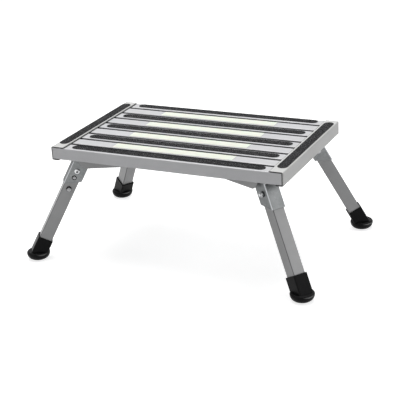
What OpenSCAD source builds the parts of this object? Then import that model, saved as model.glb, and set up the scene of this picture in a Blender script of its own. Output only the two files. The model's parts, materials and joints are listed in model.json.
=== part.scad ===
// Folding entry step: a slatted platform between two channel rails, on four
// splayed square legs that lock with spring buttons and fold under the platform.
// Millimetres. X runs along the platform, Y to the back, Z up from the floor.

/* [Platform] */
// Length over both end rails
platform_l = 480; // [470:1:520]
// Depth from the front rail to the rear rail
platform_d = 302; // [298:1:320]
// Height of the top of the end rails over the floor
step_h = 232; // [225:1:260]
// Radius of the outer bends of the end rails
rail_bend_r = 2.4; // [2:0.1:3]
// Sheet thickness of the end rails
rail_t = 1.8; // [1.5:0.1:2]
// Width of the top flange of an end rail
rail_top_w = 26.5; // [22:0.5:32]
// Width of the bottom flange of an end rail
rail_bottom_w = 15; // [12:0.5:20]

/* [Slats] */
// Width of one slat tube
slat_w = 27; // [25:0.5:28]
// Height of one slat tube
slat_h = 23.4; // [20:0.1:26]
// Wall of a slat tube
slat_wall = 1.4; // [1.2:0.1:2]
// Outer corner radius of the inner slats
slat_corner_r = 2; // [1.6:0.1:3]
// Outer corner radius of the front and rear rails
edge_corner_r = 1.6; // [1.5:0.1:3]
// Gap left between a slat's end and the web of the end rail
slat_end_gap = 0.8; // [0.7:0.1:2]

/* [Tapes] */
// Thickness of the grit tape
tape_t = 0.8; // [0.5:0.1:1.2]
// Width of the grit tape on the slats
tape_w = 19; // [14:0.5:21]
// Gap from the end of a slat's grit tape to the end rail's edge
tape_end_gap = 13.5; // [8:0.5:30]
// Width of the grit tape on the end rails
end_tape_w = 19.5; // [14:0.5:21]
// Gap from each end of an end rail's grit tape to the rail's end, before its shift
end_tape_gap = 17; // [11:0.5:50]
// How far the end tapes sit behind the middle of the rail
end_tape_shift = 4; // [0:0.5:6]
// Thickness of a glow strip
glow_t = 0.4; // [0.3:0.1:0.8]
// Width of a glow strip
glow_w = 22.6; // [16:0.2:23]
// Length of a glow strip
glow_l = 250; // [200:5:300]

/* [Legs] */
// Outer width of the square leg tube
leg_w = 25; // [24:0.5:30]
// Wall of the leg tube
leg_wall = 1.5; // [1.2:0.1:2]
// Outer corner radius of the leg tube
leg_corner_r = 2; // [1.8:0.1:3]
// Lean of each leg from upright, outward
lean = 28.5; // [26:0.5:29]
// Heading of each leg in plan, from the long side of the platform
leg_heading = 31.9; // [31:0.1:33]
// Distance of the pivot from the end of the platform
pivot_in_x = 37.95; // [36:0.05:40]
// Distance of the pivot from the front or rear of the platform
pivot_in_y = 25.2; // [24:0.1:27]
// Depth of the pivot under the top of the end rails
pivot_drop = 51; // [49:0.5:54]
// Diameter of the pivot bolt
pivot_d = 6; // [5:0.5:8]
// Radial play of the leg on the bolt
pivot_play = 0.05; // [0.02:0.01:0.1]

/* [Brackets] */
// Sheet thickness of the bracket
bracket_t = 2; // [1.5:0.1:2.5]
// Gap between each ear and the leg
ear_gap = 0.5; // [0.3:0.1:0.7]
// Gap between the bracket's web and the leg
stop_gap = 0.3; // [0.3:0.1:0.6]
// How far the bracket's ears run past the rivet of their inner foot
ear_past_rivet = 4.6; // [4:0.1:8]
// How far the ears reach under the pivot
ear_drop = 22.5; // [20:0.5:24]
// How far the web stops short of the ears' top edge
web_cut = 4; // [3:0.5:6]

/* [Leg mounts] */
// Sheet thickness of the mount
mount_t = 1.8; // [1.5:0.1:2]
// Height of the mount's side flanges
mount_h = 18.3; // [15:0.1:19]
// How far the mount runs past its innermost rivet
mount_past_rivet = 7.9; // [6:0.1:12]
// Half width of the mount at its inner end
mount_half_in = 39.5; // [36:0.5:42]
// Half width of the mount at its outer end
mount_half_out = 22.7; // [22:0.1:24]

/* [Lock clips] */
// Thickness of the spring steel
clip_t = 0.8; // [0.6:0.1:1]
// Width of the spring strip
clip_w = 14; // [12:0.5:16]
// Distance of the locking button from the pivot
lock_at = 14; // [13:0.5:15]
// Distance of the release button from the pivot
release_at = 40; // [38:0.5:44]
// Diameter of the locking button
lock_button_d = 8.6; // [8:0.1:9]
// Diameter of the release button
release_button_d = 9.6; // [9:0.1:10]
// Play between each button and the edge of its hole
button_play = 0.5; // [0.2:0.1:0.6]
// How far the locking button stands out of the leg tube
lock_button_out = 2.3; // [1.8:0.1:2.4]
// How far the release button stands out of the leg tube
release_button_out = 3.2; // [2.8:0.1:4]

/* [Feet] */
// Wall of the rubber sleeve
sleeve_wall = 2.45; // [2:0.05:2.6]
// Length of the rubber sleeve above the pad's widest level
sleeve_l = 34.7; // [30:0.1:40]
// Radius of the round pad that stands level on the floor
pad_r = 23; // [21:0.25:25]
// Radius of the pad's lower edge
pad_edge_r = 13; // [8:0.5:14]
// Radius of the pad's shoulder
shoulder_r = 4; // [2:0.5:6]
// How far the pad's middle sits inward of the leg's middle line on the floor
pad_in = 6.3; // [4:0.1:8]
// Height of the tube's end over the floor
tube_over_floor = 24.2; // [22:0.1:30]

/* [Hidden] */
$fn = 64;

// Corners are numbered front left, front right, back left, back right.
FL = 0;
FR = 1;
BL = 2;
BR = 3;
CORNERS = [FL, FR, BL, BR];
function side_x(c) = (c == FL || c == BL) ? -1 : 1;
function side_y(c) = (c == FL || c == FR) ? -1 : 1;
function hand(c) = side_x(c) * side_y(c);
function heading(c) = atan2(side_y(c) * sin(leg_heading), side_x(c) * cos(leg_heading));

// Slats are numbered from the front rail, 0, to the rear rail, 8.
SLAT_COUNT = 9;
LAST_SLAT = SLAT_COUNT - 1;
slat_pitch = (platform_d - slat_w) / LAST_SLAT;
slat_l = platform_l - 2 * rail_t - 2 * slat_end_gap;
slat_top = step_h - rail_t;
slat_bottom = slat_top - slat_h;
rail_h = slat_h + 2 * rail_t;
rail_bottom = step_h - rail_h;
function slat_y(i) = -platform_d / 2 + slat_w / 2 + i * slat_pitch;

// Front and rear slats carry their tape a little behind the middle.
edge_tape_shift = 2;
tape_l = platform_l - 2 * rail_top_w - 2 * tape_end_gap;
end_tape_l = platform_d - 2 * end_tape_gap;

// Blind rivets: shank, hole, domed head and the bulb behind the sheet.
rivet_d = 4;
rivet_hole_d = rivet_d + 0.1;
rivet_head_d = 8;
rivet_head_h = 1.2;
rivet_bulb_d = 5.4;
rivet_bulb_h = 2.4;
rail_rivet_in = 7.5;

// Where the pivot stands, and the five rivets of each mount. Each rivet names its
// offset toward the platform's long edge, its slat counted from that edge, and its
// shift from the slat's middle.
pivot_x = platform_l / 2 - pivot_in_x;
pivot_y = platform_d / 2 - pivot_in_y;
pivot_z = step_h - pivot_drop;
foot_in_side = 7;
foot_in_shift = 3;
foot_out_side = 8;
foot_out_shift = 9.1;
wing_side = 28;
inner_wing_shift = 4.2;
outer_wing_shift = 8.5;
foot_in_rivet = [-foot_in_side, 1, foot_in_shift];
foot_out_rivet = [foot_out_side, 0, -foot_out_shift];
inner_wing_rivet = [-wing_side, 3, inner_wing_shift];
outer_wing_rivet = [wing_side, 1, -outer_wing_shift];
MOUNT_RIVETS = [foot_in_rivet, foot_out_rivet, [0, 1, 0], inner_wing_rivet, outer_wing_rivet];
function rivet_u(r) =
    (platform_d / 2 - slat_w / 2 - r[1] * slat_pitch + r[2] - pivot_y - r[0] * cos(leg_heading))
    / sin(leg_heading);
function in_bracket(r) = r == foot_in_rivet || r == foot_out_rivet;

// Heights over the pivot, which the mount and bracket are drawn from.
web_top = slat_bottom - pivot_z;
web_under = web_top - mount_t;
foot_under = web_under - bracket_t;

// The mount holds its innermost rivet. Its outer end stops short of the pivot,
// apart from a tongue past it.
mount_l = mount_past_rivet - rivet_u(inner_wing_rivet);
mount_tip = 6;
mount_bend_r = mount_t + 0.6;
mount_tongue = 2;

// Bracket sizes in the leg's own frame.
ear_in = leg_w / 2 + ear_gap;
ear_out = ear_in + bracket_t;
web_in = leg_w / 2 + stop_gap;
web_out = web_in + bracket_t;
bracket_bend_r = bracket_t + 0.6;
ear_corner_r = 3;
bracket_foot_w = 13;
bracket_foot_clear = 0.75;

// Distance outward, at height z over the pivot, of a line that runs along the leg.
function edge_u(offset, z) = offset / cos(lean) - z * tan(lean);

// The ears reach inward far enough to hold their inner foot.
ear_top = web_under - bracket_bend_r;
ear_top_in = rivet_u(foot_in_rivet) - ear_past_rivet;
ear_reach = -(ear_top_in + ear_top * tan(lean)) * cos(lean);

// The pad stands level, a little inward of where the leg's middle line meets the floor.
pad_at = pivot_z * tan(lean) - pad_in;
tube_end = (pivot_z - tube_over_floor) / cos(lean);
sleeve_end = (pivot_z - pad_edge_r) / cos(lean);
sleeve_at = sleeve_end - sleeve_l;
sleeve_floor = pad_edge_r + 0.5;
tube_fit = 0.02;
sleeve_w = leg_w + 2 * sleeve_wall;
sleeve_corner_r = 2.2;
lots = 400;

// How far a cut runs past the sheet that it goes through
cut_past = 1;

// Pivot bolt with a domed head and hex socket, and its nut with a plastic collar.
bolt_head_d = 11.6;
bolt_head_h = 3.2;
socket_af = 4;
socket_depth = 2;
nut_af = 10;
nut_h = 4.6;
collar_d = 8.8;
collar_h = 1.4;
bolt_past_nut = 0.8;

// The clip lies a little off the tube's walls.
clip_out = leg_w / 2 - leg_wall - 0.1;
clip_start = lock_at - lock_button_d / 2 - 1.5;
clip_bend_past = 5.5;
clip_bend_at = release_at + release_button_d / 2 + clip_bend_past;
button_round = 1.8;

FRAME_PAINT = [0.66, 0.67, 0.68];
GALVANISED = [0.60, 0.62, 0.62];
BRIGHT_STEEL = [0.75, 0.76, 0.78];
SPRING_STEEL = [0.50, 0.50, 0.52];
GRIT_BLACK = [0.16, 0.16, 0.17];
GLOW_WHITE = [0.96, 0.97, 0.88];
RUBBER_BLACK = [0.08, 0.08, 0.09];

// Plain shapes

module round_rect(w, h, r) {
    square([w - 2 * r, h], center = true);
    square([w, h - 2 * r], center = true);
    for (x = [-1, 1], y = [-1, 1])
        translate([x * (w / 2 - r), y * (h / 2 - r)])
            circle(r);
}

module box_section(w, h, wall, r) {
    difference() {
        round_rect(w, h, r);
        round_rect(w - 2 * wall, h - 2 * wall, r - wall + 0.2);
    }
}

module stadium(l, w) {
    square([l - w, w], center = true);
    for (x = [-1, 1])
        translate([x * (l - w) / 2, 0])
            circle(w / 2);
}

// An L of bent sheet: one wall up the Y axis, the other along X, bend at the origin.
module bent_sheet(along, up, t, r) {
    difference() {
        union() {
            translate([r, 0])
                square([along - r, t]);
            translate([0, r])
                square([t, up - r]);
            translate([r, r])
                intersection() {
                    circle(r);
                    translate([-r, -r])
                        square([r, r]);
                }
        }
        translate([r, r])
            circle(r - t);
    }
}

// Moves to a corner's pivot, seen in plan: X outward along the leg, Y to its left.
module at_corner(c) {
    translate([side_x(c) * pivot_x, side_y(c) * pivot_y, pivot_z])
        rotate([0, 0, heading(c)])
            children();
}

// Moves to the leg's own frame: Z up the tube, X out of its outer face.
module along_leg(c) {
    at_corner(c)
        rotate([0, -lean, 0])
            children();
}

// Stands at one mount rivet, Z up.
module at_rivet(c, r) {
    at_corner(c)
        translate([rivet_u(r), hand(c) * r[0], 0])
            children();
}

// Platform

module slat_holes(i) {
    for (x = [-1, 1])
        translate([x * (platform_l / 2 - rail_rivet_in), slat_y(i), slat_bottom - cut_past])
            cylinder(d = rivet_hole_d, h = slat_wall + 2 * cut_past);
    for (c = CORNERS)
        for (r = MOUNT_RIVETS)
            if (i == (side_y(c) < 0 ? r[1] : LAST_SLAT - r[1]))
                at_rivet(c, r)
                    translate([0, 0, web_top - cut_past])
                        cylinder(d = rivet_hole_d, h = slat_wall + 2 * cut_past);
}

module slat(i, r) {
    difference() {
        translate([-slat_l / 2, slat_y(i), slat_bottom + slat_h / 2])
            rotate([90, 0, 90])
                linear_extrude(slat_l)
                    box_section(slat_w, slat_h, slat_wall, r);
        slat_holes(i);
    }
}

module front_rail() {
    color(FRAME_PAINT)
        slat(0, edge_corner_r);
}

module rear_rail() {
    color(FRAME_PAINT)
        slat(LAST_SLAT, edge_corner_r);
}

module grip_slat(n) {
    color(FRAME_PAINT)
        slat(2 * n, slat_corner_r);
}

module glow_slat(n) {
    color(FRAME_PAINT)
        slat(2 * n - 1, slat_corner_r);
}

// The channel is drawn from two bent sheets that meet halfway up its web.
module end_rail_section() {
    half_h = rail_h / 2;
    translate([0, -half_h])
        bent_sheet(rail_bottom_w, half_h, rail_t, rail_bend_r);
    mirror([0, 1])
        translate([0, -half_h])
            bent_sheet(rail_top_w, half_h, rail_t, rail_bend_r);
}

module end_rail() {
    difference() {
        translate([-platform_l / 2, platform_d / 2, rail_bottom + rail_h / 2])
            rotate([90, 0, 0])
                linear_extrude(platform_d)
                    end_rail_section();
        for (i = [0 : LAST_SLAT])
            translate([-platform_l / 2 + rail_rivet_in, slat_y(i), rail_bottom - 1])
                cylinder(d = rivet_hole_d, h = rail_t + 2);
    }
}

module left_end_rail() {
    color(FRAME_PAINT)
        end_rail();
}

module right_end_rail() {
    color(FRAME_PAINT)
        mirror([1, 0, 0])
            end_rail();
}

// A blind rivet pulled up through sheets of the given total thickness.
module rivet(grip) {
    head_curve_r = (rivet_head_d * rivet_head_d / 4 + rivet_head_h * rivet_head_h) / (2 * rivet_head_h);
    cylinder(d = rivet_d, h = grip);
    translate([0, 0, grip])
        cylinder(d = rivet_bulb_d, h = rivet_bulb_h);
    intersection() {
        translate([0, 0, head_curve_r - rivet_head_h])
            sphere(head_curve_r);
        translate([0, 0, -rivet_head_h])
            cylinder(d = rivet_head_d + 1, h = rivet_head_h);
    }
}

module end_rail_rivets() {
    color(BRIGHT_STEEL)
        for (x = [-1, 1])
            for (i = [0 : LAST_SLAT])
                translate([x * (platform_l / 2 - rail_rivet_in), slat_y(i), rail_bottom])
                    rivet(rail_t + slat_wall);
}

// Tapes

module tape_on(x, y, z, l, w) {
    color(GRIT_BLACK)
        translate([x, y, z])
            linear_extrude(tape_t)
                stadium(l, w);
}

module front_rail_tape() {
    tape_on(0, slat_y(0) + edge_tape_shift, slat_top, tape_l, tape_w);
}

module rear_rail_tape() {
    tape_on(0, slat_y(LAST_SLAT) + edge_tape_shift, slat_top, tape_l, tape_w);
}

module slat_tape(n) {
    tape_on(0, slat_y(2 * n), slat_top, tape_l, tape_w);
}

module end_rail_tape(side) {
    color(GRIT_BLACK)
        translate([side * (platform_l - rail_top_w + 1) / 2, end_tape_shift, step_h])
            rotate([0, 0, 90])
                linear_extrude(tape_t)
                    stadium(end_tape_l, end_tape_w);
}

module left_rail_tape() {
    end_rail_tape(-1);
}

module right_rail_tape() {
    end_rail_tape(1);
}

module glow_strip(n) {
    color(GLOW_WHITE)
        translate([-glow_l / 2, slat_y(2 * n - 1) - glow_w / 2, slat_top])
            cube([glow_l, glow_w, glow_t]);
}

// Leg mount: a flared channel of sheet under the slats, with a tongue over the bracket

module mount_flange() {
    flare = atan((mount_half_in - mount_half_out) / (mount_l - mount_tip));
    translate([-mount_l, -mount_half_in, web_top])
        rotate([0, 0, flare])
            translate([-mount_h, 0, 0])
                rotate([90, 0, 90])
                    linear_extrude(mount_l + 2 * mount_h)
                        mirror([0, 1])
                            bent_sheet(2 * mount_bend_r, mount_h, mount_t, mount_bend_r);
}

module mount_web() {
    half_in = mount_half_in - mount_bend_r;
    half_out = mount_half_out - mount_bend_r - 1;
    translate([0, 0, web_under])
        linear_extrude(mount_t)
            polygon([[-mount_l, -half_in], [0, -half_out], [0, half_out], [-mount_l, half_in]]);
}

// The outline that the mount is cut to, seen from the side.
module mount_side() {
    low = web_top - mount_h;
    chamfer_h = 6;
    inner_chamfer = 13;
    outer_chamfer = 9;
    end_slope = 4;
    polygon([
        [-mount_l, web_top],
        [-mount_l, low + chamfer_h],
        [-mount_l + inner_chamfer, low],
        [-mount_tip - end_slope + 1.5 - outer_chamfer, low],
        [-mount_tip - end_slope + 1.5, low + chamfer_h],
        [-mount_tip + 1.5, web_under - 1],
        [-mount_tip + 1.5, web_top]
    ]);
}

module mount_sheet() {
    intersection() {
        union() {
            mount_flange();
            mirror([0, 1, 0])
                mount_flange();
            mount_web();
        }
        translate([0, lots / 2, 0])
            rotate([90, 0, 0])
                linear_extrude(lots)
                    mount_side();
    }
    translate([-2 * mount_tip, -ear_out, web_under])
        cube([2 * mount_tip + mount_tongue, 2 * ear_out, mount_t]);
}

module leg_mount(c) {
    color(FRAME_PAINT)
        difference() {
            at_corner(c)
                mount_sheet();
            for (r = MOUNT_RIVETS)
                at_rivet(c, r)
                    translate([0, 0, web_under - cut_past])
                        cylinder(d = rivet_hole_d, h = mount_t + 2 * cut_past);
        }
}

module mount_rivets(c) {
    color(BRIGHT_STEEL)
        for (r = MOUNT_RIVETS)
            at_rivet(c, r)
                if (in_bracket(r)) {
                    translate([0, 0, foot_under])
                        rivet(bracket_t + mount_t + slat_wall);
                } else {
                    translate([0, 0, web_under])
                        rivet(mount_t + slat_wall);
                }
}

// Leg bracket: a channel along the leaning leg, cut to a slanted outline, with two
// feet turned inward and riveted up through the mount

module bracket_section() {
    half_w = ear_out;
    for (m = [0, 1])
        mirror([0, m])
            translate([web_out, -half_w])
                mirror([1, 0])
                    bent_sheet(web_out + ear_reach, half_w, bracket_t, bracket_bend_r);
}

// The outline that the bracket is cut to, seen from the side.
module bracket_side() {
    round_l = ear_corner_r / tan((90 + lean) / 2);
    inner_low = edge_u(-ear_reach, -ear_drop);
    polygon([
        [ear_top_in, ear_top],
        [inner_low - round_l * sin(lean), -ear_drop + round_l * cos(lean)],
        [inner_low + round_l, -ear_drop],
        [edge_u(web_out + 1, -ear_drop), -ear_drop],
        [edge_u(web_out + 1, ear_top), ear_top]
    ]);
    translate([inner_low + round_l, -ear_drop + ear_corner_r])
        circle(ear_corner_r);
}

module bracket_foot(c, r) {
    side = hand(c) * sign(r[0]);
    at_corner(c)
        mirror([0, side < 0 ? 1 : 0, 0])
            translate([rivet_u(r) - bracket_foot_w / 2, ear_out, web_under])
                rotate([90, 0, 90])
                    linear_extrude(bracket_foot_w)
                        rotate(180)
                            bent_sheet(ear_out - bracket_foot_clear, 2 * bracket_bend_r,
                                bracket_t, bracket_bend_r);
}

module bracket_channel(c) {
    difference() {
        intersection() {
            along_leg(c)
                translate([0, 0, -lots / 2])
                    linear_extrude(lots)
                        bracket_section();
            at_corner(c)
                translate([0, lots / 2, 0])
                    rotate([90, 0, 0])
                        linear_extrude(lots)
                            bracket_side();
        }
        at_corner(c)
            translate([0, -ear_in, web_under - web_cut])
                cube([2 * ear_out, 2 * ear_in, web_cut]);
    }
}

module leg_bracket(c) {
    color(GALVANISED)
        difference() {
            union() {
                bracket_channel(c);
                bracket_foot(c, foot_in_rivet);
                bracket_foot(c, foot_out_rivet);
            }
            pivot_hole(c, 2 * ear_out + 2 * cut_past);
            button_hole(c, lock_at, lock_button_d, ear_out + cut_past);
            for (r = [foot_in_rivet, foot_out_rivet])
                at_rivet(c, r)
                    translate([0, 0, foot_under - cut_past])
                        cylinder(d = rivet_hole_d, h = bracket_t + 2 * cut_past);
        }
}

module pivot_hole(c, l) {
    along_leg(c)
        rotate([90, 0, 0])
            cylinder(d = pivot_d + 2 * pivot_play, h = l, center = true);
}

module button_hole(c, s, button_d, l) {
    along_leg(c)
        translate([0, 0, -s])
            rotate([-90, 0, 0])
                cylinder(d = button_d + 2 * button_play, h = l);
}

// Pivot bolt and nut

module pivot_bolt(c) {
    reach = 2 * ear_out + nut_h + collar_h + bolt_past_nut;
    dome_r = (bolt_head_d * bolt_head_d / 4 + bolt_head_h * bolt_head_h) / (2 * bolt_head_h);
    color(BRIGHT_STEEL)
        along_leg(c)
            translate([0, ear_out, 0])
                rotate([-90, 0, 0])
                    difference() {
                        union() {
                            translate([0, 0, -reach])
                                cylinder(d = pivot_d, h = reach + 1);
                            intersection() {
                                cylinder(d = bolt_head_d, h = bolt_head_h);
                                translate([0, 0, bolt_head_h + 0.4 - dome_r])
                                    sphere(dome_r);
                            }
                        }
                        translate([0, 0, bolt_head_h - socket_depth])
                            cylinder(d = socket_af / cos(30), h = bolt_head_h, $fn = 6);
                    }
}

module nut_chamfer() {
    corner_r = nut_af / (2 * cos(30));
    chamfer = 0.8;
    cylinder(r1 = corner_r - chamfer, r2 = corner_r, h = chamfer);
    translate([0, 0, chamfer])
        cylinder(r = corner_r, h = nut_h - 2 * chamfer);
    translate([0, 0, nut_h - chamfer])
        cylinder(r1 = corner_r, r2 = corner_r - chamfer, h = chamfer);
}

module pivot_nut(c) {
    color(BRIGHT_STEEL)
        along_leg(c)
            translate([0, -ear_out, 0])
                rotate([90, 0, 0])
                    difference() {
                        union() {
                            intersection() {
                                cylinder(d = nut_af / cos(30), h = nut_h, $fn = 6);
                                nut_chamfer();
                            }
                            translate([0, 0, nut_h - 0.5])
                                cylinder(d1 = collar_d, d2 = collar_d - 1, h = collar_h + 0.5);
                        }
                        translate([0, 0, -1])
                            cylinder(d = pivot_d + 2 * pivot_play, h = nut_h + collar_h + 2);
                    }
}

// Leg tube: square, with a top end rounded about the pivot

module leg_tube(c) {
    color(FRAME_PAINT)
        difference() {
            along_leg(c)
                intersection() {
                    translate([0, 0, -tube_end])
                        linear_extrude(tube_end + leg_w / 2)
                            box_section(leg_w, leg_w, leg_wall, leg_corner_r);
                    union() {
                        translate([-leg_w, -leg_w, -lots])
                            cube([2 * leg_w, 2 * leg_w, lots]);
                        rotate([90, 0, 0])
                            cylinder(d = leg_w, h = 2 * leg_w, center = true);
                    }
                }
            pivot_hole(c, 2 * leg_w);
            button_hole(c, lock_at, lock_button_d, leg_w);
            button_hole(c, release_at, release_button_d, leg_w);
        }
}

// Foot: a rubber sleeve over the tube's end, moulded on a level round pad

// Half of the pad's outline: a flat sole, a large lower edge and a small shoulder.
module pad_side() {
    square([pad_r - pad_edge_r, pad_edge_r + shoulder_r]);
    translate([pad_r - pad_edge_r, pad_edge_r])
        intersection() {
            circle(pad_edge_r);
            translate([0, -pad_edge_r])
                square(pad_edge_r);
        }
    translate([0, pad_edge_r])
        square([pad_r - shoulder_r, shoulder_r]);
    translate([pad_r - shoulder_r, pad_edge_r])
        intersection() {
            circle(shoulder_r);
            square(shoulder_r);
        }
}

// The sleeve leans with the leg and is cut level, inside the pad.
module foot_sleeve(c) {
    intersection() {
        along_leg(c)
            translate([0, 0, -sleeve_end - sleeve_w])
                linear_extrude(sleeve_l + sleeve_w)
                    round_rect(sleeve_w, sleeve_w, sleeve_corner_r);
        translate([-lots, -lots, sleeve_floor])
            cube([2 * lots, 2 * lots, lots]);
    }
}

module foot(c) {
    socket_w = leg_w + 2 * tube_fit;
    color(RUBBER_BLACK)
        difference() {
            union() {
                at_corner(c)
                    translate([pad_at, 0, -pivot_z])
                        rotate_extrude()
                            pad_side();
                foot_sleeve(c);
            }
            along_leg(c)
                translate([0, 0, -tube_end])
                    linear_extrude(tube_end)
                        round_rect(socket_w, socket_w, leg_corner_r);
        }
}

// Lock clip: a hairpin of spring strip with two hollow drawn buttons

module button_side(r, h, round) {
    square([r, h - round]);
    square([r - round, h]);
    translate([r - round, h - round])
        intersection() {
            circle(round);
            square(round);
        }
}

module hairpin() {
    difference() {
        union() {
            translate([-clip_out, -clip_bend_at])
                square([2 * clip_out, clip_bend_at - clip_start]);
            translate([0, -clip_bend_at])
                circle(clip_out);
        }
        translate([clip_t - clip_out, -clip_bend_at])
            square([2 * (clip_out - clip_t), clip_bend_at]);
        translate([0, -clip_bend_at])
            circle(clip_out - clip_t);
    }
}

module at_button(s) {
    translate([0, clip_out, -s])
        rotate([-90, 0, 0])
            children();
}

module button_outside(s, d, stands_out) {
    at_button(s)
        translate([0, 0, -clip_t / 2])
            rotate_extrude()
                button_side(d / 2, leg_w / 2 + stands_out - clip_out + clip_t / 2, button_round);
}

module button_inside(s, d, stands_out) {
    at_button(s)
        translate([0, 0, -clip_t - 1])
            rotate_extrude()
                button_side(d / 2 - clip_t, leg_w / 2 + stands_out - clip_out + 1,
                    button_round - clip_t);
}

module lock_clip(c) {
    color(SPRING_STEEL)
        along_leg(c)
            difference() {
                union() {
                    translate([-clip_w / 2, 0, 0])
                        rotate([90, 0, 90])
                            linear_extrude(clip_w)
                                hairpin();
                    button_outside(lock_at, lock_button_d, lock_button_out);
                    button_outside(release_at, release_button_d, release_button_out);
                }
                button_inside(lock_at, lock_button_d, lock_button_out);
                button_inside(release_at, release_button_d, release_button_out);
            }
}

front_rail();
rear_rail();
left_end_rail();
right_end_rail();
grip_slat(1);  // grip_slat_1
grip_slat(2);  // grip_slat_2
grip_slat(3);  // grip_slat_3
glow_slat(1);  // glow_slat_1
glow_slat(2);  // glow_slat_2
glow_slat(3);  // glow_slat_3
glow_slat(4);  // glow_slat_4
front_rail_tape();
rear_rail_tape();
left_rail_tape();
right_rail_tape();
slat_tape(1);  // slat_tape_1
slat_tape(2);  // slat_tape_2
slat_tape(3);  // slat_tape_3
glow_strip(1);  // glow_strip_1
glow_strip(2);  // glow_strip_2
glow_strip(3);  // glow_strip_3
glow_strip(4);  // glow_strip_4
end_rail_rivets();
leg_mount(FL);  // leg_mount_fl
leg_mount(FR);  // leg_mount_fr
leg_mount(BL);  // leg_mount_bl
leg_mount(BR);  // leg_mount_br
leg_bracket(FL);  // leg_bracket_fl
leg_bracket(FR);  // leg_bracket_fr
leg_bracket(BL);  // leg_bracket_bl
leg_bracket(BR);  // leg_bracket_br
mount_rivets(FL);  // mount_rivets_fl
mount_rivets(FR);  // mount_rivets_fr
mount_rivets(BL);  // mount_rivets_bl
mount_rivets(BR);  // mount_rivets_br
pivot_bolt(FL);  // pivot_bolt_fl
pivot_bolt(FR);  // pivot_bolt_fr
pivot_bolt(BL);  // pivot_bolt_bl
pivot_bolt(BR);  // pivot_bolt_br
pivot_nut(FL);  // pivot_nut_fl
pivot_nut(FR);  // pivot_nut_fr
pivot_nut(BL);  // pivot_nut_bl
pivot_nut(BR);  // pivot_nut_br
leg_tube(FL);  // leg_tube_fl
leg_tube(FR);  // leg_tube_fr
leg_tube(BL);  // leg_tube_bl
leg_tube(BR);  // leg_tube_br
foot(FL);  // foot_fl
foot(FR);  // foot_fr
foot(BL);  // foot_bl
foot(BR);  // foot_br
lock_clip(FL);  // lock_clip_fl
lock_clip(FR);  // lock_clip_fr
lock_clip(BL);  // lock_clip_bl
lock_clip(BR);  // lock_clip_br
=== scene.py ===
# %% [markdown]
# # A folding caravan step, dressed in Blender
#
# The step is a slatted platform between two channel rails, on four splayed legs with
# round rubber feet. Its solids come from the CAD frame, so this lesson never moves
# them. It gives each one a finish built from nodes, adds the small things that are
# too fine for the solids, and sets up a camera, lamps and a pale floor.

# %% Load the frame
import json
import math
import random

import bmesh
import bpy
from mathutils import Matrix, Vector


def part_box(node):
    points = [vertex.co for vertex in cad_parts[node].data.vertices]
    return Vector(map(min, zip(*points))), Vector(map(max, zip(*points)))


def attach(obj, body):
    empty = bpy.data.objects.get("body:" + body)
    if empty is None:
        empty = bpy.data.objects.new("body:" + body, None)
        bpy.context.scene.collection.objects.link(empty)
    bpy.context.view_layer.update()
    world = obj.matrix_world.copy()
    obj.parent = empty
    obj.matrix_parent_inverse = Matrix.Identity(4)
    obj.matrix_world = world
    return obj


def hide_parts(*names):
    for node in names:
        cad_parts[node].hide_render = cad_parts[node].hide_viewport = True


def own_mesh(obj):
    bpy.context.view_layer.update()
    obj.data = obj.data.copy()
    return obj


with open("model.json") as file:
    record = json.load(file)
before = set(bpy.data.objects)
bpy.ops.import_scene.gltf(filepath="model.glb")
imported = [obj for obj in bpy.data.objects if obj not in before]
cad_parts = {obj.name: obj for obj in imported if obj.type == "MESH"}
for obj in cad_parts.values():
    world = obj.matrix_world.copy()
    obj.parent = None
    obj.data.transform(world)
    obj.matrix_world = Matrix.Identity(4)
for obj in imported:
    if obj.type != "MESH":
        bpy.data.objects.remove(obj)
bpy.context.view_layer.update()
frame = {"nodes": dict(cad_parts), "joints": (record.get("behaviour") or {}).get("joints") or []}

nodes = frame["nodes"]

# %% [markdown]
# The camera comes first, because every finish is judged through it. The platform's
# four corners and the leg ends in the picture fix a long lens, about 26 degrees round
# to the right and 22 degrees above the floor. The picture also leans by three degrees,
# so the camera rolls a little. A camera looks along its own minus Z, with Y up, so its
# rotation is the three axes written as columns.

# %% Camera
AZIMUTH = math.radians(26.30)
ELEVATION = math.radians(21.90)
ROLL = math.radians(-3.15)
LENS_MM = 102.45
EYE = Vector((0.93587, -1.89451, 0.94152))

forward = Vector((-math.sin(AZIMUTH) * math.cos(ELEVATION),
                  math.cos(AZIMUTH) * math.cos(ELEVATION),
                  -math.sin(ELEVATION)))
level_right = forward.cross(Vector((0, 0, 1))).normalized()
level_up = level_right.cross(forward)
right = math.cos(ROLL) * level_right + math.sin(ROLL) * level_up
up = math.cos(ROLL) * level_up - math.sin(ROLL) * level_right

camera = bpy.data.objects.new("camera", bpy.data.cameras.new("camera"))
bpy.context.scene.collection.objects.link(camera)
turned = Matrix((right, up, -forward)).transposed().to_4x4()
camera.matrix_world = Matrix.Translation(EYE) @ turned
camera.data.lens = LENS_MM
camera.data.sensor_width = 36
camera.data.clip_start, camera.data.clip_end = 0.05, 50
bpy.context.scene.camera = camera
print("camera at", [round(x, 3) for x in camera.location], "lens", LENS_MM)

# %% [markdown]
# A studio packshot has a white room round it: soft light from every side, a broad lamp
# over the step, a weaker one on its right and one in front on the left. The world is
# white only to the camera and to mirrors. To all other rays it is a plain grey light,
# so the background doesn't overpower the object.

# %% World and lamps
def link(tree, a, b):
    tree.links.new(a, b)


def white_to_the_eye(tree):
    """1 where the camera, a mirror or glass looks straight at this surface, else 0."""
    path = tree.nodes.new("ShaderNodeLightPath")
    some = tree.nodes.new("ShaderNodeMath")
    some.operation = "ADD"
    link(tree, path.outputs["Is Camera Ray"], some.inputs[0])
    link(tree, path.outputs["Is Glossy Ray"], some.inputs[1])
    every = tree.nodes.new("ShaderNodeMath")
    every.operation = "ADD"
    every.use_clamp = True
    link(tree, some.outputs[0], every.inputs[0])
    link(tree, path.outputs["Is Transmission Ray"], every.inputs[1])
    return every.outputs[0]


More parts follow.
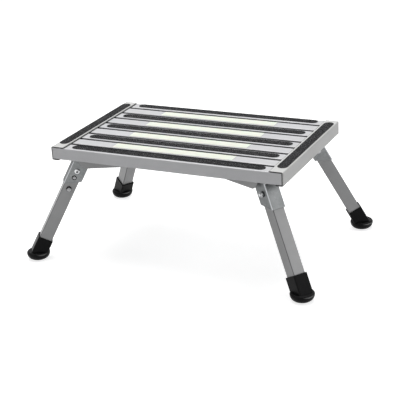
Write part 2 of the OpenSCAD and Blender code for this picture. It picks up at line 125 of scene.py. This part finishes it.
ROOM_LIGHT = 0.20
world = bpy.data.worlds.new("white_room")
world.use_nodes = True
tree = world.node_tree
tree.nodes.clear()
room = tree.nodes.new("ShaderNodeBackground")
room.inputs["Color"].default_value = (0.97, 0.985, 1.0, 1)
room.inputs["Strength"].default_value = ROOM_LIGHT
backdrop = tree.nodes.new("ShaderNodeBackground")
backdrop.inputs["Color"].default_value = (1, 1, 1, 1)
backdrop.inputs["Strength"].default_value = 1.0
pick = tree.nodes.new("ShaderNodeMixShader")
link(tree, white_to_the_eye(tree), pick.inputs[0])
link(tree, room.outputs[0], pick.inputs[1])
link(tree, backdrop.outputs[0], pick.inputs[2])
out = tree.nodes.new("ShaderNodeOutputWorld")
link(tree, pick.outputs[0], out.inputs[0])
bpy.context.scene.world = world


def lamp(name, place, target, size, power):
    data = bpy.data.lights.new(name, "AREA")
    data.shape = "RECTANGLE"
    data.size, data.size_y = size
    data.energy = power
    made = bpy.data.objects.new(name, data)
    made.location = place
    made.rotation_euler = (Vector(target) - Vector(place)).to_track_quat("-Z", "Y").to_euler()
    bpy.context.scene.collection.objects.link(made)
    print("lamp", name, power, "W")
    return made


MIDDLE = (0, 0, 0.15)
lamp("top_softbox", (-0.3, 0.5, 2.4), MIDDLE, (2.0, 1.8), 50)
lamp("right_softbox", (2.5, 0.1, 1.45), MIDDLE, (1.5, 1.5), 10.5)
lamp("front_fill", (-1.3, -2.3, 1.2), MIDDLE, (1.8, 1.4), 7.2)

bpy.context.scene.view_settings.view_transform = "Standard"

# %% [markdown]
# The floor is a large plane. To the camera it is a near-white diffuse surface with a
# glow of its own, so it turns white and keeps a faint shadow under the feet. To the
# light that bounces, it is grey, so the underside of the step and the gaps between the
# slats stay dark, as they do over real ground.

# %% Floor
HALF_FLOOR = 6.0
FLOOR_GREY = (0.7, 0.7, 0.7, 1)
FLOOR_GLOW = 0.76
GROUND_GREY = (0.22, 0.22, 0.22, 1)
floor_mesh = bpy.data.meshes.new("floor")
floor_mesh.from_pydata(
    [(-HALF_FLOOR, -HALF_FLOOR, 0), (HALF_FLOOR, -HALF_FLOOR, 0),
     (HALF_FLOOR, HALF_FLOOR, 0), (-HALF_FLOOR, HALF_FLOOR, 0)], [], [(0, 1, 2, 3)])
floor = bpy.data.objects.new("floor", floor_mesh)
bpy.context.scene.collection.objects.link(floor)
floor_paint = bpy.data.materials.new("floor_white")
floor_paint.use_nodes = True
tree = floor_paint.node_tree
tree.nodes.clear()
matte = tree.nodes.new("ShaderNodeBsdfDiffuse")
matte.inputs["Color"].default_value = FLOOR_GREY
ground = tree.nodes.new("ShaderNodeBsdfDiffuse")
ground.inputs["Color"].default_value = GROUND_GREY
glow = tree.nodes.new("ShaderNodeEmission")
glow.inputs["Strength"].default_value = FLOOR_GLOW
both = tree.nodes.new("ShaderNodeAddShader")
link(tree, matte.outputs[0], both.inputs[0])
link(tree, glow.outputs[0], both.inputs[1])
pick = tree.nodes.new("ShaderNodeMixShader")
link(tree, white_to_the_eye(tree), pick.inputs[0])
link(tree, ground.outputs[0], pick.inputs[1])
link(tree, both.outputs[0], pick.inputs[2])
out = tree.nodes.new("ShaderNodeOutputMaterial")
link(tree, pick.outputs[0], out.inputs[0])
floor_mesh.materials.append(floor_paint)
print("floor", 2 * HALF_FLOOR, "m wide")

# %% [markdown]
# Several finishes and pieces need to know where each leg is, so this cell reads the
# fold joints. A joint gives the pivot and the bolt's direction, and the leg leans 28.5
# degrees out from there. `leg_place` has its Z up the tube, X out of the outer face and
# Y along the bolt.

# %% Where the legs are
LEAN = math.radians(28.5)
CORNERS = ("fl", "fr", "bl", "br")
leg_place = {}
for joint in frame["joints"]:
    if joint["name"].startswith("fold_"):
        bolt = Vector(joint["axis"])
        outward = bolt.cross(Vector((0, 0, 1)))
        face = math.cos(LEAN) * outward + math.sin(LEAN) * Vector((0, 0, 1))
        turned = Matrix((face, bolt, face.cross(bolt))).transposed().to_4x4()
        corner = joint["name"].removeprefix("fold_")
        leg_place[corner] = Matrix.Translation(joint["pos_m"]) @ turned
print("legs:", {c: [round(x, 3) for x in m.translation] for c, m in leg_place.items()})

# %% [markdown]
# Each finish is a small tree of nodes, and a few helpers keep the cells short. `finish`
# starts a material with a Principled shader, and `add` makes a node and fills in its
# sockets. Textures use object coordinates, in metres, so a texture of scale 1000 has
# grains about a millimetre across, and it stays on the piece when a leg folds.
#
# `shade_corners` paints shade into a finish: in corners and gaps, where two sheets meet,
# round a button in its hole and under a bolt's head, it darkens the colour towards
# black and lowers the gloss. An ambient occlusion node finds those places: it looks a
# few millimetres round each point for other surfaces.
# `folds` finds the rounded corners of a leg by their normals, which point along none of
# the leg's three axes.

# %% Material helpers
MM = 0.001
# Near black, painted in as shade in corners and as the dark top of the lock buttons.
PAINTED_DARK = (0.012, 0.012, 0.012, 1)


def finish(name):
    """A new material, its node tree, its shader and the object coordinates."""
    material = bpy.data.materials.new(name)
    material.use_nodes = True
    tree = material.node_tree
    shader = tree.nodes["Principled BSDF"]
    place = tree.nodes.new("ShaderNodeTexCoord").outputs["Object"]
    return material, tree, shader, place


def add(tree, kind, settings=None, **sockets):
    """Makes a node and fills its sockets, each with a value or with another node's socket.

    A socket is called by its name, with _ for a space, or by its number as i0, i1."""
    made = tree.nodes.new("ShaderNode" + kind)
    for key, value in (settings or {}).items():
        setattr(made, key, value)
    for key, value in sockets.items():
        key = int(key[1:]) if key[0] == "i" and key[1:].isdigit() else key.replace("_", " ")
        if isinstance(value, bpy.types.NodeSocket):
            tree.links.new(value, made.inputs[key])
        else:
            made.inputs[key].default_value = value
    return made


def grain(tree, place, scale, detail=3.0, rough=0.6, stretch=None):
    """Noise of so many grains a metre, from 0 to 1. stretch squeezes it along each axis."""
    if stretch:
        place = add(tree, "Mapping", Vector=place, Scale=stretch).outputs[0]
    return add(tree, "TexNoise", Vector=place, Scale=scale, Detail=detail,
               Roughness=rough).outputs["Fac"]


def ramp(tree, value, stops):
    """Turns a value into a colour, by stops of (value, colour)."""
    made = add(tree, "ValToRGB", Fac=value)
    bar = made.color_ramp
    while len(bar.elements) < len(stops):
        bar.elements.new(0.5)
    for element, (at, colour) in zip(bar.elements, stops):
        element.position = at
        element.color = (*colour, 1)
    return made.outputs["Color"]


def span(tree, value, low, high, from_low=0.0, from_high=1.0):
    """Stretches from_low..from_high to low..high, and holds the ends past them."""
    return add(tree, "MapRange", {"clamp": True}, Value=value, From_Min=from_low,
               From_Max=from_high, To_Min=low, To_Max=high).outputs[0]


def mix(tree, share, low, high):
    return add(tree, "Mix", {"data_type": "RGBA"}, i0=share, i6=low, i7=high).outputs[2]


def calc(tree, operation, first, second=0.0):
    return add(tree, "Math", {"operation": operation}, i0=first, i1=second).outputs[0]


def times_plus(tree, value, factor, more):
    return add(tree, "Math", {"operation": "MULTIPLY_ADD"}, i0=value, i1=factor, i2=more).outputs[0]


def shade_corners(tree, shader, colour, gloss, reach, dark=0.50, unshaded=0.86):
    """Links a colour and a specular level that both sink in corners and gaps, as painted shade.

    reach is how far it looks round each point. A point that sees less than `dark` of
    that space is black, and one that sees more than `unshaded` has its own colour."""
    # Painted shade: where little space round a point is open, colour goes to black and gloss drops.
    sky = add(tree, "AmbientOcclusion", {"samples": 8}, Distance=reach).outputs["AO"]
    shade_share = span(tree, sky, 1.0, 0.0, dark, unshaded)
    tree.links.new(mix(tree, shade_share, colour, PAINTED_DARK), shader.inputs["Base Color"])
    tree.links.new(span(tree, shade_share, gloss, 0.02), shader.inputs["Specular IOR Level"])


def folds(tree, place_of_leg):
    """1 on the rounded corners that run along a leg, 0 on its flat faces."""
    normal = add(tree, "TexCoord").outputs["Normal"]
    flat = 0.0
    for axis in place_of_leg.to_3x3().col:
        along = add(tree, "VectorMath", {"operation": "DOT_PRODUCT"}, i0=normal,
                    i1=axis[:]).outputs["Value"]
        flat = calc(tree, "MAXIMUM", flat, calc(tree, "ABSOLUTE", along))
    return span(tree, flat, 1.0, 0.0, 0.80, 0.97)


def between(tree, value, low, high, soft=0.1 * MM):
    """1 where a coordinate lies between low and high, fading out over a soft edge."""
    return calc(tree, "MULTIPLY", span(tree, value, 0, 1, low - soft, low + soft),
                span(tree, value, 1, 0, high - soft, high + soft))


def bumps(tree, shader, *layers):
    """Stacks bump layers, each (height socket, depth in metres)."""
    normal = None
    for height, depth in layers:
        sockets = {"Height": height, "Distance": depth}
        if normal is not None:
            sockets["Normal"] = normal
        normal = add(tree, "Bump", **sockets).outputs[0]
    tree.links.new(normal, shader.inputs["Normal"])

# %% [markdown]
# The platform, the mounts and the legs have a silver-grey satin coat. Sprayed metal has
# a faint orange peel, flecks of metal in the paint, and drawn lines along the tube that
# show through. The flecks vary the roughness, so the gloss breaks up without changing
# the colour much. The tubes run along X, so one noise is stretched that way. On a leg
# the rounded corners are painted dark, as painted shade lines. On the platform, dark
# lines are painted where a tube runs under an end rail's flange, where it ends at the
# right rail's web, along the left flange's arris and on the flanges' raw cut ends: painted
# shade of the joints, and on the cut ends partly the raw edge's own darker colour.

# %% Silver coat
rail_low, rail_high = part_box("left_end_rail")
FLANGE_EDGE, RAIL_TOP, HALF_DEPTH = -rail_high.x, rail_high.z, -rail_low.y
tube_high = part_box("front_rail")[1]
TUBE_END, TUBE_TOP = tube_high.x, tube_high.z
# The near black of the painted shade lines at the platform's joints.
JOINT_SHADE = (0.025, 0.025, 0.025, 1)
# Painted shade for the rounded corners of the legs.
CORNER_SHADE = (0.10, 0.10, 0.105, 1)
ABOVE = 1 * MM
SLACK = 0.2 * MM
CLOUDS = 7.0
FLECKS = 2600.0
PEEL = 420.0


def tube_shade_lines(tree, place):
    """The painted shade lines of a platform tube: under the flanges' edges, and at its right end.
    """
    at = add(tree, "SeparateXYZ", Vector=place).outputs
    along = calc(tree, "ABSOLUTE", at["X"])
    edge = between(tree, along, FLANGE_EDGE - 2.4 * MM, FLANGE_EDGE)
    top = between(tree, at["Z"], TUBE_TOP - SLACK, TUBE_TOP + ABOVE)
    end = between(tree, at["X"], TUBE_END - 0.9 * MM, TUBE_END + ABOVE)
    return calc(tree, "MAXIMUM", calc(tree, "MULTIPLY", edge, top), end)


def rail_shade_lines(tree, place):
    """Painted shade lines of an end rail: the left one's arris, and both flanges' cut ends."""
    at = add(tree, "SeparateXYZ", Vector=place).outputs
    arris = between(tree, at["X"], -FLANGE_EDGE - 0.8 * MM, -FLANGE_EDGE - 0.1 * MM)
    top = between(tree, at["Z"], RAIL_TOP - SLACK, RAIL_TOP + ABOVE)
    cut = between(tree, calc(tree, "ABSOLUTE", at["Y"]), HALF_DEPTH - SLACK, HALF_DEPTH + ABOVE)
    flange = between(tree, calc(tree, "ABSOLUTE", at["X"]), 0, TUBE_END)
    return calc(tree, "MAXIMUM", calc(tree, "MULTIPLY", arris, top),
                calc(tree, "MULTIPLY", cut, flange))


def silver_coat(name, dark, light, metallic, along, reach, leg=None, lines=None):
    material, tree, shader, place = finish(name)
    cloud = grain(tree, place, CLOUDS, 4.0)
    fleck = grain(tree, place, FLECKS, 2.0)
    drawn = grain(tree, place, 1.0, 3.0, 0.7, stretch=along)
    colour = ramp(tree, times_plus(tree, fleck, 0.35, cloud), [(0.35, dark), (1.0, light)])
    if leg:
        # Painted shade: the leg's rounded corners are darkened into dark lines.
        colour = mix(tree, folds(tree, leg), colour, CORNER_SHADE)
    if lines:
        # Painted shade along the joints, drawn in by position.
        colour = mix(tree, lines(tree, place), colour, JOINT_SHADE)
    shade_corners(tree, shader, colour, 0.5, reach, 0.45, 0.90)
    tree.links.new(times_plus(tree, fleck, 0.14, 0.34), shader.inputs["Roughness"])
    shader.inputs["Metallic"].default_value = metallic
    peel = grain(tree, place, PEEL, 2.0, 0.5)
    bumps(tree, shader, (drawn, 0.03 * MM), (peel, 0.05 * MM), (fleck, 0.01 * MM))
    return material


platform_coat = silver_coat("silver_coat", (0.50, 0.50, 0.512), (0.62, 0.62, 0.632), 0.26,
                            (4.0, 1400.0, 1400.0), 14 * MM, lines=tube_shade_lines)
end_coat = silver_coat("end_coat", (0.53, 0.53, 0.52), (0.65, 0.65, 0.64), 0.16,
                       (1400.0, 4.0, 1400.0), 2 * MM, lines=rail_shade_lines)
LEG_GREYS = (0.272, 0.272, 0.275), (0.372, 0.372, 0.374)
LEG_GRAIN = (260.0, 260.0, 30.0)
# The mounts take the legs' darker greys, not the platform's: painted shade under the platform.
mount_coat = silver_coat("mount_coat", *LEG_GREYS, 0.35, LEG_GRAIN, 2 * MM)
leg_coats = {corner: silver_coat("leg_coat_" + corner, *LEG_GREYS, 0.35, LEG_GRAIN, 2 * MM,
                                 leg=leg_place[corner]) for corner in CORNERS}
print("coats:", platform_coat.name, end_coat.name, mount_coat.name, len(leg_coats), "legs")

# %% [markdown]
# The brackets are galvanised sheet. Zinc sets in crystals, a few millimetres across,
# each of its own grey. A Voronoi texture gives every cell one random value, which is
# mixed into the colour and the roughness, and a soft noise adds the dull bloom. Along
# the folds a light grey is painted in, a painted highlight on the bends.

# %% Galvanised sheet
ZINC_CRYSTALS = 260.0
# A light grey painted along the folds as a highlight.
FOLD_HIGHLIGHT = (0.62, 0.64, 0.66, 1)


def galvanised(name, leg):
    material, tree, shader, place = finish(name)
    crystal = add(tree, "TexVoronoi", {"feature": "F1"}, Vector=place, Scale=ZINC_CRYSTALS,
                  Randomness=1.0)
    cell = add(tree, "SeparateColor", Color=crystal.outputs["Color"]).outputs[0]
    bloom = grain(tree, place, 45.0, 5.0)
    colour = ramp(tree, times_plus(tree, cell, 0.35, bloom),
                  [(0.35, (0.165, 0.173, 0.176)), (0.95, (0.265, 0.273, 0.275))])
    # Painted highlight: the folds of the sheet are drawn light grey.
    colour = mix(tree, folds(tree, leg), colour, FOLD_HIGHLIGHT)
    shade_corners(tree, shader, colour, 0.5, 1.6 * MM)
    tree.links.new(span(tree, cell, 0.34, 0.52), shader.inputs["Roughness"])
    shader.inputs["Metallic"].default_value = 0.8
    shader.inputs["Specular Tint"].default_value = (0.5, 0.5, 0.5, 1)
    scuffs = grain(tree, place, 1.0, 4.0, 0.7, stretch=(90.0, 90.0, 1500.0))
    bumps(tree, shader, (crystal.outputs["Distance"], 0.02 * MM), (scuffs, 0.02 * MM))
    return material


zincs = {corner: galvanised("galvanised_" + corner, leg_place[corner]) for corner in CORNERS}
print("zinc crystals", round(1 / ZINC_CRYSTALS / MM, 1), "mm")

# %% [markdown]
# Bolts, nuts and rivets are bright zinc plate. The lock clips are spring strip whose
# buttons are drawn and polished by the holes they rub in; their upper side is painted
# dark, a painted reflection of the dark room above. A rivet's broken pin is dull. All
# are plain metals whose gloss is broken by fine scratches.

# %% Fastener and spring steel
def plated(name, dark, light, rough, scratch_scale, reach, painted_dark_top=False):
    material, tree, shader, place = finish(name)
    cloud = grain(tree, place, 300.0, 4.0)
    colour = ramp(tree, cloud, [(0.3, dark), (0.7, light)])
    if painted_dark_top:
        # Painted reflection: faces that look up are darkened towards black.
        upward = add(tree, "SeparateXYZ", Vector=add(tree, "TexCoord").outputs["Normal"])
        colour = mix(tree, span(tree, upward.outputs["Z"], 0, 1, -0.15, 0.15), colour, PAINTED_DARK)
    shade_corners(tree, shader, colour, 0.5, reach, 0.55, 0.95)
    tree.links.new(span(tree, cloud, rough, rough + 0.16), shader.inputs["Roughness"])
    shader.inputs["Metallic"].default_value = 0.9
    scratch = grain(tree, place, scratch_scale, 4.0, 0.75)
    bumps(tree, shader, (scratch, 0.02 * MM))
    return material


bright_plate = plated("bright_plate", (0.58, 0.59, 0.60), (0.76, 0.77, 0.78), 0.22, 1800.0,
                      5 * MM)
drawn_steel = plated("drawn_steel", (0.36, 0.36, 0.37), (0.56, 0.56, 0.57), 0.16, 1500.0,
                     8 * MM, painted_dark_top=True)
pin_steel = plated("pin_steel", (0.20, 0.20, 0.22), (0.34, 0.34, 0.37), 0.28, 1500.0, 1.6 * MM)
print("plated:", bright_plate.name, drawn_steel.name, pin_steel.name)

# %% [markdown]
# The treads are black film with mineral grit. Single grains catch the light, so the
# tape is dark grey with pale specks. A Voronoi texture gives the grains, its random
# colour picks the few that sparkle, and the same cells stand up as bump.

# %% Grit tape
GRIT_GRAINS = 1150.0
grit, tree, shader, place = finish("grit_tape")
grains = add(tree, "TexVoronoi", {"feature": "F1"}, Vector=place, Scale=GRIT_GRAINS,
             Randomness=1.0)
chance = add(tree, "SeparateColor", Color=grains.outputs["Color"]).outputs[0]
tree.links.new(ramp(tree, chance, [(0.0, (0.005, 0.005, 0.0055)), (0.66, (0.013, 0.013, 0.014)),
                                   (0.88, (0.032, 0.032, 0.034)), (1.0, (0.19, 0.19, 0.20))]),
               shader.inputs["Base Color"])
shader.inputs["Specular IOR Level"].default_value = 0.07
tree.links.new(span(tree, chance, 0.75, 0.45), shader.inputs["Roughness"])
height = calc(tree, "SUBTRACT", 1.0, grains.outputs["Distance"])
bumps(tree, shader, (height, 0.5 * MM))
print("grit grains", round(1 / GRIT_GRAINS / MM, 2), "mm")

# %% [markdown]
# The pale strips are luminous film that soaks up daylight. In daylight they are an
# off-white with a green cast, smooth, with a little depth where light enters the film.

# %% Luminous film
film, tree, shader, place = finish("luminous_film")
mottle = grain(tree, place, 60.0, 4.0)
tree.links.new(ramp(tree, mottle, [(0.3, (0.80, 0.83, 0.71)), (0.7, (0.86, 0.88, 0.78))]),
               shader.inputs["Base Color"])
tree.links.new(span(tree, mottle, 0.42, 0.55), shader.inputs["Roughness"])
shader.inputs["Subsurface Weight"].default_value = 0.08
shader.inputs["Subsurface Scale"].default_value = 0.6 * MM
film_grain = grain(tree, place, 1500.0, 2.0)
bumps(tree, shader, (film_grain, 0.02 * MM))
print("film:", film.name)

# %% [markdown]
# The feet are moulded rubber: near black, with a soft broad sheen, a fine cast grain
# and a little dust that greys it in patches. The shoulder of each pad has a painted
# highlight on its front right: a lighter grey and a higher specular level there.

# %% Rubber
PAD_SHOULDER = 11.5 * MM
SHOULDER_HALF = 3 * MM
# The painted highlight on the pads' shoulders faces this way, in this grey.
HIGHLIGHT_SIDE = (0.744, -0.52, 0.42)
SHOULDER_HIGHLIGHT = (0.10, 0.10, 0.10, 1)
rubber, tree, shader, place = finish("moulded_rubber")
dust = grain(tree, place, 55.0, 5.0)
black = ramp(tree, dust, [(0.40, (0.003, 0.003, 0.0033)), (0.75, (0.008, 0.008, 0.0083))])
tree.links.new(span(tree, dust, 0.32, 0.50), shader.inputs["Roughness"])
normal = add(tree, "TexCoord").outputs["Normal"]
facing = add(tree, "VectorMath", {"operation": "DOT_PRODUCT"}, i0=normal,
             i1=HIGHLIGHT_SIDE).outputs["Value"]
height = add(tree, "SeparateXYZ", Vector=place).outputs["Z"]
# Painted highlight on the front right of each pad's shoulder.
painted_highlight = calc(tree, "MULTIPLY", span(tree, facing, 0, 1, 0.86, 0.97),
              between(tree, height, PAD_SHOULDER - SHOULDER_HALF,
                      PAD_SHOULDER + SHOULDER_HALF, 1 * MM))
tree.links.new(mix(tree, painted_highlight, black, SHOULDER_HIGHLIGHT), shader.inputs["Base Color"])
tree.links.new(span(tree, painted_highlight, 0.08, 0.9), shader.inputs["Specular IOR Level"])
cast = grain(tree, place, 1600.0, 3.0)
bumps(tree, shader, (cast, 0.04 * MM))
print("rubber:", rubber.name)

# %% [markdown]
# Every solid now gets its finish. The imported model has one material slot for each, so
# the finish goes into that slot.

# %% Dress the solids
FINISHES = {
    "leg_mount": (mount_coat, "painted_frame"),
    "mount_rivets": (bright_plate, "bright_steel"),
    "end_rail_rivets": (bright_plate, "bright_steel"),
    "pivot_bolt": (bright_plate, "bright_steel"),
    "pivot_nut": (bright_plate, "bright_steel"),
    "lock_clip": (drawn_steel, "spring_steel"),
    "foot": (rubber, "foot_rubber"),
    "glow_strip": (film, "glow_strip"),
    "slat_tape": (grit, "grit_tape"),
    "_rail_tape": (grit, "grit_tape"),
    "_end_rail": (end_coat, "painted_frame"),
    "slat": (platform_coat, "painted_frame"),
    "rail": (platform_coat, "painted_frame"),
}
for corner in CORNERS:
    FINISHES["leg_bracket_" + corner] = (zincs[corner], "galvanised_steel")
    FINISHES["leg_tube_" + corner] = (leg_coats[corner], "leg_metal")


def finish_of(name):
    """The first entry whose words are in the node's name."""
    return next(made for word, made in FINISHES.items() if word in name)


for name, solid in nodes.items():
    material, slot = finish_of(name)
    solid.data.materials.clear()
    solid.data.materials.append(material)
print("dressed", len(nodes), "solids")

# %% [markdown]
# The rest of the lesson adds what is too fine for the solids. Each such thing becomes a
# piece: an object with a finish, that rides on one of the frame's bodies and moves with
# its joint.

# %% Pieces
def piece(name, mesh, material, body, smooth=True):
    """A finished mesh becomes a named piece that rides on one body."""
    made = bpy.data.objects.new(name, mesh)
    bpy.context.scene.collection.objects.link(made)
    mesh.materials.append(material)
    for face in mesh.polygons:
        face.use_smooth = smooth
    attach(made, body)
    return made

# %% [markdown]
# The grit tapes are worth real geometry, because their rough edge shows against the
# smooth metal. Each solid tape is replaced with a sheet of small quads. Its outline
# is the same long shape with round ends: the rows get shorter towards the edges, by
# the circle's own formula, so the quads stay even. Every inner vertex is lifted by a
# random amount, mostly little and now and then a lot, which is how grit lies. A low
# wall round the rim and a flat bottom close the sheet.

# %% Grit tapes
GRAIN_STEP = 1.0 * MM
GRAIN_LIFT = 0.32 * MM
SUNK_SHARE = 0.6
RARE_HIGH = 2.2
TAPES = [name for name in nodes if name.endswith("_tape") or name.startswith("slat_tape")]
dice = random.Random(7)


def grit_sheet(low, high):
    """A closed sheet of quads with round ends, rough on top, in the box low to high."""
    size = high - low
    centre = (low + high) / 2
    turn = size.y > size.x
    length, width = (size.y, size.x) if turn else (size.x, size.y)
    half_w = width / 2
    rows, columns = round(width / GRAIN_STEP), round(length / GRAIN_STEP)
    sheet = bmesh.new()
    grid = []
    for row in range(rows + 1):
        across = half_w * (2 * row / rows - 1)
        reach = length / 2 - half_w + math.sqrt(max(0.0, half_w ** 2 - across ** 2))
        line = []
        for column in range(columns + 1):
            along = reach * (2 * column / columns - 1)
            inner = 0 < row < rows and 0 < column < columns
            lift = GRAIN_LIFT * dice.random() ** RARE_HIGH if inner else 0.0
            x, y = (-across, along) if turn else (along, across)
            line.append(sheet.verts.new((centre.x + x, centre.y + y,
                                         high.z - GRAIN_LIFT * SUNK_SHARE + lift)))
        grid.append(line)
    for row in range(rows):
        for column in range(columns):
            sheet.faces.new((grid[row][column], grid[row][column + 1],
                             grid[row + 1][column + 1], grid[row + 1][column]))
    rim = (grid[0] + [line[-1] for line in grid[1:]] + grid[-1][-2::-1]
           + [line[0] for line in grid[-2:0:-1]])
    foot_of_rim = [sheet.verts.new((v.co.x, v.co.y, low.z)) for v in rim]
    for i in range(len(rim)):
        j = (i + 1) % len(rim)
        sheet.faces.new((rim[j], rim[i], foot_of_rim[i], foot_of_rim[j]))
    sheet.faces.new(foot_of_rim[::-1])
    mesh = bpy.data.meshes.new("grit")
    sheet.to_mesh(mesh)
    sheet.free()
    return mesh


for name in TAPES:
    made = piece("grit_" + name, grit_sheet(*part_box(name)), grit, "platform",
                 smooth=False)
    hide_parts(name)

# %% [markdown]
# The lock clip is a hairpin of spring steel: pressing a button squeezes it, the front
# leaf moving in while the back leaf stays on the tube's wall. Here each clip's solid
# is copied whole into a piece of drawn steel that rides on its lock's body.

# %% Lock clips
for corner in CORNERS:
    solid = nodes["lock_clip_" + corner]
    to_leg = leg_place[corner].inverted()
    copied = solid.data.copy()
    copied.materials.clear()
    clip = piece("spring_clip_" + corner, copied, drawn_steel,
                 "lock_" + corner, smooth=False)
    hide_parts(solid.name)
    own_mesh(clip)

# %% [markdown]
# Small turned things share one tool. `lathe` spins a profile, given as pairs of radius
# and height, round its Z axis. The profile runs from the axis out and back, or round to
# its own start, so that the surface closes.

# %% Lathe
def lathe(profile, turns):
    """A mesh of the profile spun round Z, with so many steps in a turn."""
    ring = bmesh.new()
    loops = []
    for radius, height in profile:
        if radius == 0:
            loops.append([ring.verts.new((0, 0, height))] * turns)
            continue
        loops.append([ring.verts.new((radius * math.cos(2 * math.pi * k / turns),
                                      radius * math.sin(2 * math.pi * k / turns), height))
                      for k in range(turns)])
    for low, high in zip(loops, loops[1:]):
        for k in range(turns):
            corners = [low[k], low[(k + 1) % turns], high[(k + 1) % turns], high[k]]
            corners = list(dict.fromkeys(corners))
            if len(corners) > 2:
                ring.faces.new(corners)
    bmesh.ops.recalc_face_normals(ring, faces=ring.faces)
    return ring


def spun(name, profile, places, turns=40):
    """One mesh that holds the same turned shape at each of the places."""
    whole = bmesh.new()
    for place in places:
        one = lathe([(r * MM, h * MM) for r, h in profile], turns)
        one.transform(place)
        part = bpy.data.meshes.new(name)
        one.to_mesh(part)
        one.free()
        whole.from_mesh(part)
        bpy.data.meshes.remove(part)
    mesh = bpy.data.meshes.new(name)
    whole.to_mesh(mesh)
    whole.free()
    return mesh

# %% [markdown]
# A blind rivet keeps the broken stub of its pulling pin in the middle of its head. Here
# that is a small dark disc with a dimple, one under each head.

# %% Rivet pins
PIN = [(0, 0), (1.0, 0), (1.0, -0.25), (0.75, -0.32), (0, -0.18)]
PIN_INSET = Vector((0, 0, 0.12 * MM))
PIN_TURNS = 20
SAME_POINT = 0.01 * MM


def solid_centres(name):
    """The middle of each separate solid in a node, at the height of its lowest point."""
    mesh = bmesh.new()
    mesh.from_mesh(nodes[name].data)
    bmesh.ops.remove_doubles(mesh, verts=mesh.verts, dist=SAME_POINT)
    seen, found = set(), []
    for start in mesh.verts:
        if start in seen:
            continue
        seen.add(start)
        group, to_visit = [start], [start]
        while to_visit:
            for edge in to_visit.pop().link_edges:
                for vert in edge.verts:
                    if vert not in seen:
                        seen.add(vert)
                        group.append(vert)
                        to_visit.append(vert)
        middle = sum((v.co for v in group), Vector()) / len(group)
        found.append(Vector((middle.x, middle.y, min(v.co.z for v in group))))
    mesh.free()
    return found


for name in [n for n in nodes if "_rivets" in n]:
    heads = solid_centres(name)
    places = [Matrix.Translation(head + PIN_INSET) for head in heads]
    piece("pins_" + name, spun("pins", PIN, places, PIN_TURNS), pin_steel,
          "platform")
    print(name, len(heads), "heads")

# %% [markdown]
# The pivot nut is a locking nut: a ring of white nylon sits in its collar and grips the
# thread. Past it the bolt ends in two ridges of thread and a chamfer. On the bolt's own
# axis, Y points out of the head, so these go on the minus Y side.

# %% Nut rings and thread ends
NYLON = [(3.05, 0), (3.75, 0), (3.75, 0.12), (3.45, 0.22), (3.05, 0.16), (3.05, 0)]
THREAD_END = [(0, -0.2), (3.03, -0.2), (3.03, 0.06), (3.14, 0.16), (3.03, 0.28), (3.14, 0.40),
              (3.03, 0.52), (3.10, 0.62), (2.6, 0.86), (0, 0.86)]

nylon, tree, shader, place = finish("nylon_ring")
milky = grain(tree, place, 400.0)
tree.links.new(ramp(tree, milky, [(0.3, (0.62, 0.64, 0.66)), (0.7, (0.74, 0.75, 0.76))]),
               shader.inputs["Base Color"])
shader.inputs["Roughness"].default_value = 0.45

for corner in CORNERS:
    to_leg = leg_place[corner].inverted()
    nut_top = min((to_leg @ v.co).y for v in nodes["pivot_nut_" + corner].data.vertices)
    far_side = Matrix.Translation((0, nut_top, 0)) @ Matrix.Rotation(math.radians(90), 4, "X")
    place_of_nut = leg_place[corner] @ far_side
    piece("nylon_ring_" + corner, spun("ring", NYLON, [place_of_nut]), nylon,
          "platform")
    piece("thread_end_" + corner, spun("thread", THREAD_END, [place_of_nut]), bright_plate,
          "platform")
print("four nut rings and thread ends")
